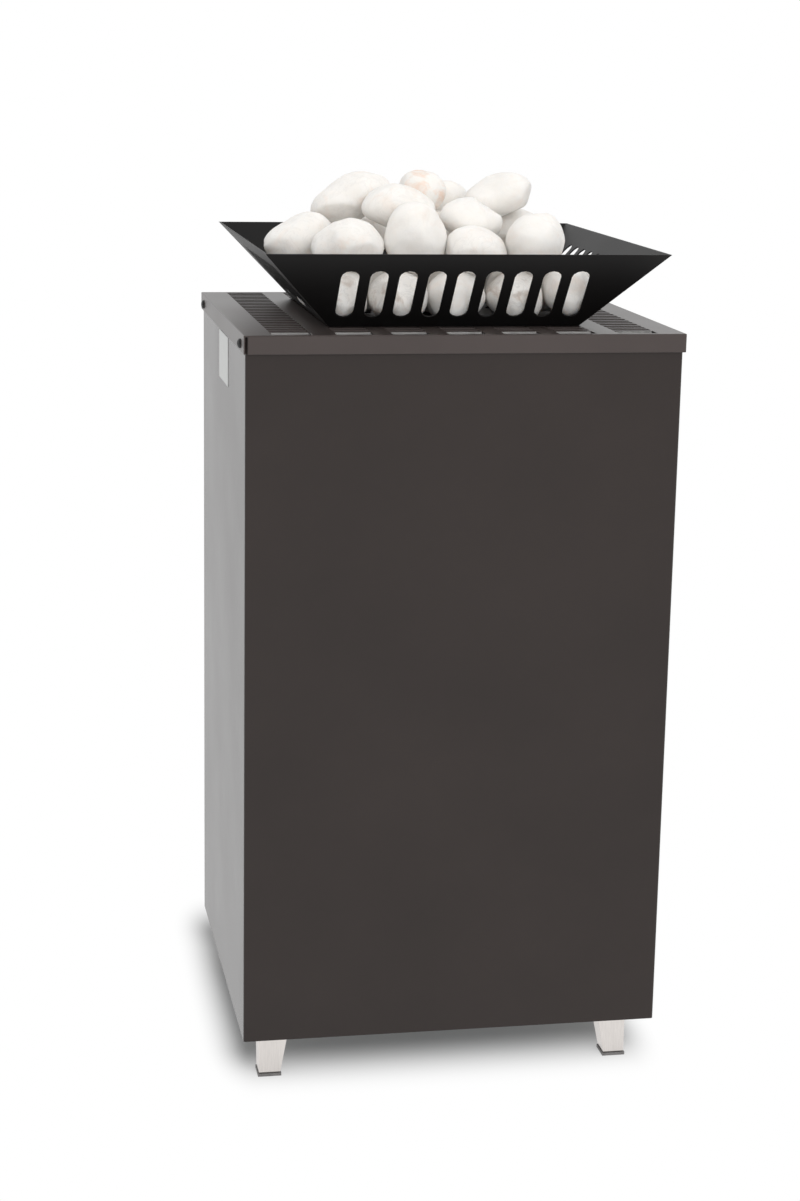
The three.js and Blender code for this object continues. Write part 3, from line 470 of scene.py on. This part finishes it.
def heat_stained(name):
    """The sheath of an element that has glowed: grey steel gone straw and blue in bands."""
    material, tree, shader = new_material(name)
    vector = place_in(tree)
    band = grain(tree, place_in(tree, SHEATH_BAND_STRETCH), SHEATH_BAND_SIZE)
    patch = grain(tree, vector, SHEATH_PATCH_SIZE)
    surface(tree, shader, ramp(tree, band, SHEATH_TINTS), spread(tree, patch, *SHEATH_ROUGHNESS))
    fill(shader, Metallic=1.0)
    bump(tree, shader, grain(tree, vector, SHEATH_GRAIN_SIZE), SHEATH_GRAIN_DEPTH)
    return material


def bisque(name, colour):
    """Unglazed ceramic with dark specks."""
    material, tree, shader = new_material(name)
    specks = grain(tree, place_in(tree), SPECK_SIZE, detail=4, roughness=0.7)
    tree.links.new(shaded(tree, specks, colour, SPECK_SHADES), shader.inputs["Base Color"])
    fill(shader, Roughness=CERAMIC_ROUGHNESS)
    bump(tree, shader, specks, SPECK_DEPTH)
    return material


def foil(name, colour):
    """Blank metal foil with a soft crinkle."""
    material, tree, shader = new_material(name)
    crinkle = grain(tree, place_in(tree), CRINKLE_SIZE)
    tint = shaded(tree, crinkle, colour, CRINKLE_SHADES)
    surface(tree, shader, tint, spread(tree, crinkle, *FOIL_ROUGHNESS))
    fill(shader, Metallic=FOIL_METALLIC)
    bump(tree, shader, crinkle, CRINKLE_DEPTH)
    return material


def pebble(name, stain_and_shade, stain_and_shade_from, stain_and_shade_share, vein_share):
    """Tumbled white stone: a chalky skin with pores, faint grey veins and patches of stain, which on some
    stones are partly painted shade.
    """
    material, tree, shader = new_material(name)
    vector = place_in(tree)
    cloud = grain(tree, vector, STONE_CLOUD_SIZE, detail=5, roughness=0.6)
    patch = grain(tree, vector, STAIN_AND_SHADE_SIZE, detail=4, roughness=0.6, distortion=0.6)
    vein_place = place_in(tree, VEIN_STRETCH)
    vein = grain(tree, vein_place, VEIN_SIZE, detail=6, roughness=0.65, distortion=1.6)
    pores = grain(tree, vector, PORE_SIZE, detail=4, roughness=0.7)
    stain_and_shade_mask = [(stain_and_shade_from, 0), (stain_and_shade_from + STAIN_AND_SHADE_EDGE, stain_and_shade_share)]
    vein_mask = [(VEIN_MIDDLE - VEIN_HALF, 0), (VEIN_MIDDLE, vein_share), (VEIN_MIDDLE + VEIN_HALF, 0)]
    layers = [
        (patch, stain_and_shade_mask, stain_and_shade),
        (vein, vein_mask, scaled(STONE_WHITE, VEIN_SHADE)),
        (pores, PORE_MASK, scaled(STONE_WHITE, PORE_SHADE)),
    ]
    tint = shaded(tree, cloud, STONE_WHITE, STONE_SHADES)
    for factor, stops, colour in layers:
        tint = mixed(tree, mask(tree, factor, stops), tint, colour)
    surface(tree, shader, tint, spread(tree, cloud, *STONE_ROUGHNESS))
    fill(shader, IOR=STONE_IOR, Subsurface_Weight=STONE_GLOW)
    fill(shader, Subsurface_Radius=STONE_GLOW_TINT, Subsurface_Scale=STONE_GLOW_DEPTH)
    bump(tree, shader, pores, PORE_DEPTH)
    return material


# Stage

def seen_directly(tree):
    """1 for rays that show the background itself: from the lens, from gloss and through glass."""
    path = add(tree, "ShaderNodeLightPath")
    seen = joined(tree, "MAXIMUM", path.outputs["Is Camera Ray"], path.outputs["Is Glossy Ray"])
    return path, joined(tree, "MAXIMUM", seen, path.outputs["Is Transmission Ray"])


def backdrop():
    """A white room whose wall behind the camera is greyer in reflections."""
    world = bpy.data.worlds.new("studio")
    world.use_nodes = True
    bpy.context.scene.world = world
    tree = world.node_tree
    tree.nodes.clear()
    path, direct = seen_directly(tree)
    coordinates = add(tree, "ShaderNodeTexCoord")
    split = add(tree, "ShaderNodeSeparateXYZ")
    tree.links.new(coordinates.outputs["Generated"], split.inputs["Vector"])
    depth = add(tree, "ShaderNodeMapRange", interpolation_type="SMOOTHSTEP")
    fill(depth, From_Min=FRONT_WALL_END, From_Max=FRONT_WALL_WHITE, To_Min=FRONT_WALL_LEVEL, To_Max=1.0)
    tree.links.new(split.outputs["Y"], depth.inputs["Value"])
    level = joined(tree, "MAXIMUM", depth.outputs["Result"], path.outputs["Is Camera Ray"])
    ambient = fill(add(tree, "ShaderNodeBackground"), Color=WHITE, Strength=AMBIENT_LEVEL)
    walls = fill(add(tree, "ShaderNodeBackground"), Color=WHITE)
    tree.links.new(level, walls.inputs["Strength"])
    output = add(tree, "ShaderNodeOutputWorld")
    room = choice(tree, direct, ambient.outputs[0], walls.outputs[0])
    tree.links.new(room, output.inputs["Surface"])


def softbox(name, place, size, power, aim):
    data = bpy.data.lights.new(name, "AREA")
    data.shape = "SQUARE"
    data.size = size
    data.energy = power
    obj = bpy.data.objects.new(name, data)
    obj.location = place
    obj.rotation_mode = "QUATERNION"
    obj.rotation_quaternion = (aim - place).to_track_quat("-Z", "Y")
    obj.visible_glossy = False
    show(obj)


def shadow_distance(tree, vector):
    """How far a point of the floor lies outside the painted shadow: 0 at its rim, 1 where it has faded."""
    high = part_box("casing_wrap")[1]
    steps = [
        ("SUBTRACT", (0, SHADOW_SHIFT_Y, 0)),
        ("ABSOLUTE", None),
        ("SUBTRACT", (high.x - SHADOW_INSET_X, high.y - SHADOW_INSET_Y, 0)),
        ("MAXIMUM", (0, 0, 0)),
        ("DIVIDE", (SHADOW_FADE_X, SHADOW_FADE_Y, 1)),
        ("LENGTH", None),
    ]
    for operation, value in steps:
        node = add(tree, "ShaderNodeVectorMath", operation=operation)
        tree.links.new(vector, node.inputs[0])
        if value is not None:
            node.inputs[1].default_value = value
        vector = node.outputs["Value" if operation == "LENGTH" else "Vector"]
    return vector


def floor_material():
    """A matt floor with a painted shadow: grey under the heater and white around it, where it shows plain white
    to the lens.
    """
    material, tree, shader = new_material("studio_floor")
    tree.nodes.remove(shader)
    vector = place_in(tree)
    fade = add(tree, "ShaderNodeMapRange", interpolation_type="SMOOTHSTEP")
    tree.links.new(shadow_distance(tree, vector), fade.inputs["Value"])
    faded = fade.outputs["Result"]
    # The floor's colour: grey as a painted shadow inside the patch, white where it has faded
    level = spread(tree, faded, FLOOR_PAINTED_SHADOW_GREY, FLOOR_WHITE)
    mottle = spread(tree, grain(tree, vector, FLOOR_MOTTLE_SIZE), *FLOOR_MOTTLE)
    matt = add(tree, "ShaderNodeBsdfDiffuse")
    tree.links.new(joined(tree, "MULTIPLY", level, mottle), matt.inputs["Color"])
    path, direct = seen_directly(tree)
    in_gloss = spread(tree, path.outputs["Is Glossy Ray"], 0.0, FLOOR_GLOSS_WHITE)
    share = joined(tree, "MAXIMUM", joined(tree, "MULTIPLY", faded, direct), in_gloss)
    glow = add(tree, "ShaderNodeEmission")
    look = choice(tree, share, matt.outputs[0], glow.outputs[0])
    tree.links.new(look, tree.nodes["Material Output"].inputs["Surface"])
    return material


def studio_floor():
    mesh = bpy.data.meshes.new("studio_floor")
    corners = [(-1, -1), (1, -1), (1, 1), (-1, 1)]
    vertices = [(x * FLOOR_HALF, y * FLOOR_HALF, -FLOOR_DROP) for x, y in corners]
    mesh.from_pydata(vertices, [], [(0, 1, 2, 3)])
    mesh.materials.append(floor_material())
    obj = bpy.data.objects.new("studio_floor", mesh)
    show(obj)


def studio():
    bpy.context.scene.view_settings.view_transform = "Standard"
    backdrop()
    middle = (cad_low + cad_high) / 2
    softbox("overhead", OVERHEAD_PLACE, OVERHEAD_SIZE, OVERHEAD_POWER, middle)
    softbox("front_fill", FILL_PLACE, FILL_SIZE, FILL_POWER, middle)
    studio_floor()


# Pieces

def new_piece(name, mesh, material, body):
    mesh.materials.clear()
    mesh.materials.append(material)
    obj = bpy.data.objects.new(name, mesh)
    show(obj)
    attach(obj, body)
    return obj


def dress(name, material):
    data = nodes[name].data
    data.materials.clear()
    data.materials.append(material)


def clean_faces():
    """A modifier group that joins the split corners of a faceted solid and leaves its faces flat."""
    group = bpy.data.node_groups.new("clean_faces", "GeometryNodeTree")
    group.interface.new_socket("Geometry", in_out="INPUT", socket_type="NodeSocketGeometry")
    group.interface.new_socket("Geometry", in_out="OUTPUT", socket_type="NodeSocketGeometry")
    chain = [
        add(group, "NodeGroupInput"),
        fill(add(group, "GeometryNodeMergeByDistance"), Distance=MERGE_DISTANCE),
        fill(add(group, "GeometryNodeRemoveAttribute"), Name="custom_normal"),
        fill(add(group, "GeometryNodeSetShadeSmooth"), Shade_Smooth=False),
        add(group, "NodeGroupOutput"),
    ]
    for before, after in zip(chain, chain[1:]):
        group.links.new(before.outputs[0], after.inputs[0])
    return group


def soften(name, group, width):
    """Rounds the edges of a CAD node by modifiers, with its own mesh left as it is."""
    obj = nodes[name]
    obj.modifiers.new("clean", "NODES").node_group = group
    bevel = obj.modifiers.new("edges", "BEVEL")
    bevel.width = width
    bevel.segments = EDGE_SEGMENTS
    bevel.limit_method = "ANGLE"
    bevel.angle_limit = SHARP_ANGLE
    bevel.use_clamp_overlap = True


def smooth(name, group):
    """Rounds a faceted rod by modifiers, with its own mesh left as it is."""
    obj = nodes[name]
    obj.modifiers.new("clean", "NODES").node_group = group
    rounding = obj.modifiers.new("smooth", "SUBSURF")
    rounding.levels = ROD_LEVELS
    rounding.render_levels = ROD_LEVELS


def smooth_copy(source, levels):
    """The mesh of a faceted solid, joined and subdivided into a smooth one."""
    mesh = source.data.copy()
    bm = bmesh.new()
    bm.from_mesh(mesh)
    bmesh.ops.remove_doubles(bm, verts=bm.verts, dist=MERGE_DISTANCE)
    bm.to_mesh(mesh)
    bm.free()
    holder = bpy.data.objects.new("holder", mesh)
    show(holder)
    holder.modifiers.new("smooth", "SUBSURF").levels = levels
    graph = bpy.context.evaluated_depsgraph_get()
    result = bpy.data.meshes.new_from_object(holder.evaluated_get(graph))
    bpy.data.objects.remove(holder)
    bpy.data.meshes.remove(mesh)
    return result


def refit(points, low, high):
    """Stretches points so that they fill a box again."""
    axes = range(3)
    least = [min(p[a] for p in points) for a in axes]
    most = [max(p[a] for p in points) for a in axes]
    for p in points:
        for a in axes:
            share = (p[a] - least[a]) / (most[a] - least[a])
            p[a] = low[a] + share * (high[a] - low[a])


def random_direction(source):
    height = source.uniform(-1, 1)
    angle = source.uniform(0, 2 * math.pi)
    level = math.sqrt(1 - height * height)
    return Vector((level * math.cos(angle), level * math.sin(angle), height))


def weather(points, normals, number):
    """Wears a rounded stone: a few flattened sides, a slow swell and small dents."""
    source = random.Random(number)
    middle = sum(points, Vector()) / len(points)
    for _ in range(STONE_FLATS):
        way = random_direction(source)
        reach = STONE_FLAT_SHARE * max((p - middle).dot(way) for p in points)
        for p in points:
            over = (p - middle).dot(way) - reach
            if over > 0:
                p -= way * over * STONE_FLAT_PRESS
    for p, normal in zip(points, normals):
        swell = noise.noise(p / STONE_SWELL_SIZE) * STONE_SWELL
        dent = noise.noise(p / STONE_DENT_SIZE) * STONE_DENT
        p += normal * (swell + dent)


def stone_piece(number, material):
    node = f"stone_{number:02d}"
    low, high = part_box(node)
    mesh = smooth_copy(nodes[node], STONE_LEVELS)
    points = [v.co.copy() for v in mesh.vertices]
    weather(points, [v.normal.copy() for v in mesh.vertices], number)
    margin = (high - low) * (STONE_GROWTH - 1) / 2
    refit(points, low - margin, high + margin)
    for vertex, point in zip(mesh.vertices, points):
        vertex.co = point
    mesh.shade_smooth()
    mesh.update()
    obj = new_piece(f"pebble_{number:02d}", mesh, material, "tray")
    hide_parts(node)


def ringed_mesh(name, rings, segments):
    """A closed turned mesh about Z, from rings of (radius function of the angle, height)."""
    bm = bmesh.new()
    loops = []
    for radius, height in rings:
        loop = []
        for i in range(segments):
            angle = 2 * math.pi * i / segments
            r = radius(angle)
            loop.append(bm.verts.new((r * math.cos(angle), r * math.sin(angle), height)))
        loops.append(loop)
    for lower, upper in zip(loops, loops[1:]):
        for i in range(segments):
            j = (i + 1) % segments
            bm.faces.new((lower[i], lower[j], upper[j], upper[i]))
    bm.faces.new(list(reversed(loops[0])))
    bm.faces.new(loops[-1])
    bmesh.ops.recalc_face_normals(bm, faces=bm.faces)
    mesh = bpy.data.meshes.new(name)
    bm.to_mesh(mesh)
    bm.free()
    return mesh


def tube_mesh(name, rings, segments):
    """A turned mesh with a bore: as ringed_mesh, but its last ring joins its first."""
    mesh = ringed_mesh(name, [*rings, rings[0]], segments)
    bm = bmesh.new()
    bm.from_mesh(mesh)
    quad = 4
    caps = [f for f in bm.faces if len(f.verts) > quad]
    bmesh.ops.delete(bm, geom=caps, context="FACES_ONLY")
    bmesh.ops.remove_doubles(bm, verts=bm.verts, dist=MERGE_DISTANCE)
    bmesh.ops.recalc_face_normals(bm, faces=bm.faces)
    bm.to_mesh(mesh)
    bm.free()
    return mesh


def circle(radius):
    return lambda angle: radius


def hexagon(across_half):
    """The radius of a hexagon by angle, from half its width across flats."""
    side = math.pi / 3

    def radius(angle):
        turn = (angle + side / 2) % side - side / 2
        return across_half / math.cos(turn)
    return radius


def ribbed(radius):
    """The radius of a ribbed round by angle, with its ribs cut into the full radius."""
    return lambda angle: radius - GLAND_RIB_DEPTH * (1 + math.cos(GLAND_RIBS * angle)) / 2


def pan_head(name, radius, height, shank_radius, shank_length):
    """A domed screw head with a hexagon socket, on a short shank, pointing along +Z."""
    rings = [
        (circle(shank_radius * SHANK_TIP), -shank_length),
        (circle(shank_radius), -shank_length * SHANK_TIP_FROM),
        (circle(shank_radius), 0),
        (circle(radius * HEAD_FOOT), 0),
        (circle(radius), height * HEAD_EDGE_RISE),
    ]
    for share in HEAD_DOME_STEPS:
        span = 1 - HEAD_DOME_FALL * share ** HEAD_DOME_POWER
        rise = HEAD_EDGE_RISE + (1 - HEAD_EDGE_RISE) * share
        rings.append((circle(radius * span), height * rise))
    socket = radius * SOCKET
    rings += [
        (hexagon(socket * SOCKET_MOUTH), height),
        (hexagon(socket), height * SOCKET_RIM_RISE),
        (hexagon(socket * SOCKET_FLOOR), height * SOCKET_FLOOR_RISE),
    ]
    return ringed_mesh(name, rings, SCREW_SEGMENTS)


def lay(mesh, place, way):
    """Turns a mesh made along +Z to point along a direction, and puts it in place."""
    turn = Vector((0, 0, 1)).rotation_difference(way).to_matrix().to_4x4()
    mesh.transform(Matrix.Translation(place) @ turn)


def lid_screws(material):
    """The screws at the lid's sides, with rounded heads in place of the plain ones."""
    lid_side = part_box("lid")[1].x
    for side, x in (("left", -1), ("right", 1)):
        for end in ("front", "rear"):
            node = f"lid_screw_{end}_{side}"
            low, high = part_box(node)
            radius = (high.z - low.z) / 2
            head = max(abs(low.x), abs(high.x)) - lid_side
            shank = lid_side - min(abs(low.x), abs(high.x))
            seat = Vector((x * lid_side, (low.y + high.y) / 2, (low.z + high.z) / 2))
            mesh = pan_head(f"pan_screw_{end}_{side}", radius, head, radius * LID_SCREW_SHANK, shank)
            lay(mesh, seat, Vector((x, 0, 0)))
            obj = new_piece(mesh.name, mesh, material, "casing")
            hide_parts(node)


def rear_screws(material):
    """Small screws that hold the rear panel to the casing's folded edges."""
    low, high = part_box("casing_wrap")
    run = high.z - low.z - 2 * REAR_SCREW_END
    shank_radius = REAR_SCREW_RADIUS * REAR_SCREW_SHANK
    for side in (-1, 1):
        for row in range(REAR_SCREW_ROWS):
            z = low.z + REAR_SCREW_END + run * row / (REAR_SCREW_ROWS - 1)
            seat = Vector((side * (high.x - REAR_SCREW_INSET), high.y, z))
            name = f"rear_screw_{'left' if side < 0 else 'right'}_{row + 1}"
            mesh = pan_head(name, REAR_SCREW_RADIUS, REAR_SCREW_HEIGHT, shank_radius, REAR_SCREW_LENGTH)
            lay(mesh, seat, Vector((0, 1, 0)))
            new_piece(name, mesh, material, "casing")


def cable_gland(material):
    """The gland: a hexagon collar, a ribbed dome nut below it and a bore through both."""
    node = "cable_gland"
    low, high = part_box(node)
    middle = (low + high) / 2
    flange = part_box("base_plate")[0].z
    collar_foot = flange - GLAND_COLLAR_HEIGHT
    collar_top = flange - GLAND_SEAT_GAP
    rings = [
        (circle(GLAND_BORE), high.z),
        (circle(GLAND_BORE), low.z + GLAND_FLARE_RISE),
        (circle(GLAND_BORE + GLAND_FLARE), low.z),
        (circle(GLAND_NOSE), low.z),
        (circle(GLAND_SHOULDER), low.z + GLAND_SHOULDER_RISE),
        (ribbed(GLAND_DOME), low.z + GLAND_DOME_RISE),
        (ribbed(GLAND_DOME), collar_foot - GLAND_GROOVE_WIDTH),
        (circle(GLAND_GROOVE), collar_foot - GLAND_GROOVE_WIDTH / 2),
        (hexagon(GLAND_COLLAR_FOOT), collar_foot),
        (hexagon(GLAND_COLLAR), collar_foot + GLAND_COLLAR_BEVEL),
        (hexagon(GLAND_COLLAR), collar_top - GLAND_COLLAR_BEVEL),
        (hexagon(GLAND_COLLAR_TOP), collar_top),
        (circle(GLAND_THREAD), collar_top),
    ]
    pitch = (high.z - flange) / GLAND_TURNS
    for turn in range(GLAND_TURNS):
        root = flange + pitch * (turn + GLAND_ROOT_SHARE)
        crest = flange + pitch * (turn + GLAND_CREST_SHARE)
        rings.append((circle(GLAND_THREAD - GLAND_THREAD_DEPTH), root))
        rings.append((circle(GLAND_THREAD), crest))
    mesh = tube_mesh("gland_body", rings, GLAND_RIBS * GLAND_RIB_POINTS)
    mesh.transform(Matrix.Translation(Vector((middle.x, middle.y, 0))))
    obj = new_piece(mesh.name, mesh, material, "casing")
    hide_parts(node)


# The heater, dressed

def dress_sheets(clean, plastic):
    """Sheets, castings and other pieces with plain edges: a material and softened edges each."""
    anthracite = paint("anthracite_paint", ANTHRACITE, roughness=0.25, ior=1.37)
    # A lighter copy of the anthracite paint for the lid, as painted light
    lid_painted_light_anthracite = paint("lid_painted_light_anthracite_paint", LID_PAINTED_LIGHT_ANTHRACITE, roughness=0.32, ior=1.36)
    black = paint("black_paint", TRAY_BLACK, roughness=0.48, ior=1.32, grain_size=TRAY_GRAIN_SIZE)
    zinc = galvanised("galvanised_sheet", ZINC)
    # Zinc for the inner shield, lightened and made less metallic as a painted reflection
    zinc_painted_reflection = galvanised("galvanised_sheet_painted_reflection", ZINC_PAINTED_REFLECTION, metallic=ZINC_PAINTED_REFLECTION_METALLIC)
    foot_metal = brushed("foot_metal", FOOT_METAL, (STREAKS_ACROSS, STREAKS_ACROSS, STREAKS_ALONG))
    brass = brushed("bar_brass", BRASS, (STREAKS_ACROSS, STREAKS_ALONG, STREAKS_ACROSS))
    sole_rubber = moulded("sole_rubber", SOLE_GREY)
    ceramic = bisque("block_ceramic", CERAMIC)
    plate = foil("plate_foil", PLATE_FOIL)
    looks = {
        "casing_wrap": (anthracite, SHEET_EDGE),
        "rear_panel": (anthracite, SHEET_EDGE),
        "lid": (lid_painted_light_anthracite, FOLD_EDGE),
        "stone_tray": (black, SHEET_EDGE),
        "base_plate": (zinc, SHEET_EDGE),
        "inner_shield": (zinc_painted_reflection, SHEET_EDGE),
        "terminal_box": (zinc, SHEET_EDGE),
        "element_strap_left": (zinc, SHEET_EDGE),
        "element_strap_right": (zinc, SHEET_EDGE),
        "terminal_block": (ceramic, CAST_EDGE),
        "gland_locknut": (plastic, SHEET_EDGE),
        "neutral_bar": (brass, SHEET_EDGE),
        "rating_plate": (plate, PLATE_EDGE),
    }
    for corner in ("front_left", "front_right", "rear_left", "rear_right"):
        looks[f"foot_{corner}"] = (foot_metal, CAST_EDGE)
        looks[f"glide_{corner}"] = (sole_rubber, SHEET_EDGE)
    for name, (material, width) in looks.items():
        dress(name, material)
        soften(name, clean, width)


def dress_rods(clean):
    """The heating elements and the leads of their wiring."""
    sheath = heat_stained("element_sheath")
    silicone = moulded("silicone_lead", SILICONE_RED, roughness=0.65)
    looks = {"neutral_lead": silicone}
    for number in range(1, ELEMENT_COUNT + 1):
        looks[f"heating_element_{number}"] = sheath
        looks[f"phase_lead_{number}"] = silicone
    for name, material in looks.items():
        dress(name, material)
        smooth(name, clean)


def heap_stones():
    """The stones: most of them plain, some veined, a few stained, and a few with brown patches that are partly
    stain and partly painted shade.
    """
    plain = pebble("white_stone", STONE_RUST, stain_and_shade_from=0.54, stain_and_shade_share=0.12, vein_share=0.05)
    veined = pebble("white_stone_veined", STONE_RUST, stain_and_shade_from=0.54, stain_and_shade_share=0.16, vein_share=0.14)
    stained = pebble("white_stone_stained", STONE_RUST, stain_and_shade_from=0.5, stain_and_shade_share=0.6, vein_share=0.1)
    # Brown patches, partly stain and partly painted shade standing in for the shade between the stones
    earth_and_shade = pebble("white_stone_earth_and_painted_shade", STONE_EARTH_AND_SHADE, stain_and_shade_from=0.52, stain_and_shade_share=0.6, vein_share=0.3)
    special = {
        **dict.fromkeys(VEINED_STONES, veined),
        **dict.fromkeys(STAINED_STONES, stained),
        **dict.fromkeys(EARTH_AND_SHADE_STONES, earth_and_shade),
    }
    for number in range(1, STONE_COUNT + 1):
        stone_piece(number, special.get(number, plain))


def dress_heater():
    clean = clean_faces()
    plastic = moulded("black_plastic", PLASTIC_BLACK)
    screw_black = paint("black_screw", SCREW_BLACK, roughness=0.3, ior=1.5)
    dress_sheets(clean, plastic)
    dress_rods(clean)
    heap_stones()
    lid_screws(screw_black)
    rear_screws(screw_black)
    cable_gland(plastic)


camera()
studio()
dress_heater()
